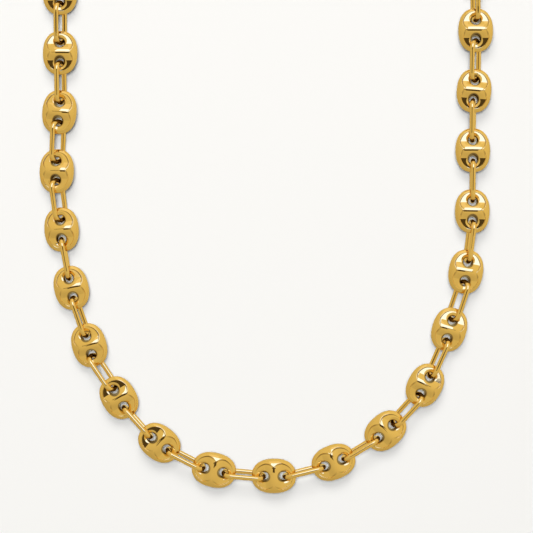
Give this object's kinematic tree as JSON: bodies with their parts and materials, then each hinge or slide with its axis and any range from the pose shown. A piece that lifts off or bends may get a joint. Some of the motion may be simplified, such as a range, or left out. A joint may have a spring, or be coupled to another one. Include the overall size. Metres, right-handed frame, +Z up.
{
  "type": "link chain necklace",
  "caption": "Gold necklace of puffed oval links with a cross bar and two eyes, joined by long oval wire links and closed by a lobster clasp.",
  "frame": {"origin": "middle of the box round the laid-out loop, on the surface that it lies on", "axes": "+Z up from that surface, +Y from the front of the neck to the clasp at the back, +X to the right seen from above"},
  "size_m": [0.1065, 0.182, 0.0053],
  "materials": {
    "puffed_gold": "polished",
    "wire_gold": "polished"
  },
  "bodies": {
    "root": {"puffed_link_01": "puffed_gold", "puffed_link_02": "puffed_gold", "puffed_link_03": "puffed_gold", "puffed_link_04": "puffed_gold", "puffed_link_05": "puffed_gold", "puffed_link_06": "puffed_gold", "puffed_link_07": "puffed_gold", "puffed_link_08": "puffed_gold", "puffed_link_09": "puffed_gold", "puffed_link_10": "puffed_gold", "puffed_link_11": "puffed_gold", "puffed_link_12": "puffed_gold", "puffed_link_13": "puffed_gold", "puffed_link_14": "puffed_gold", "puffed_link_15": "puffed_gold", "puffed_link_16": "puffed_gold", "puffed_link_17": "puffed_gold", "puffed_link_18": "puffed_gold", "puffed_link_19": "puffed_gold", "puffed_link_20": "puffed_gold", "puffed_link_21": "puffed_gold", "puffed_link_22": "puffed_gold", "puffed_link_23": "puffed_gold", "puffed_link_24": "puffed_gold", "puffed_link_25": "puffed_gold", "puffed_link_26": "puffed_gold", "puffed_link_27": "puffed_gold", "puffed_link_28": "puffed_gold", "puffed_link_29": "puffed_gold", "puffed_link_30": "puffed_gold", "puffed_link_31": "puffed_gold", "oval_links": "wire_gold", "lobster_clasp": "wire_gold"}
  },
  "joints": []
}
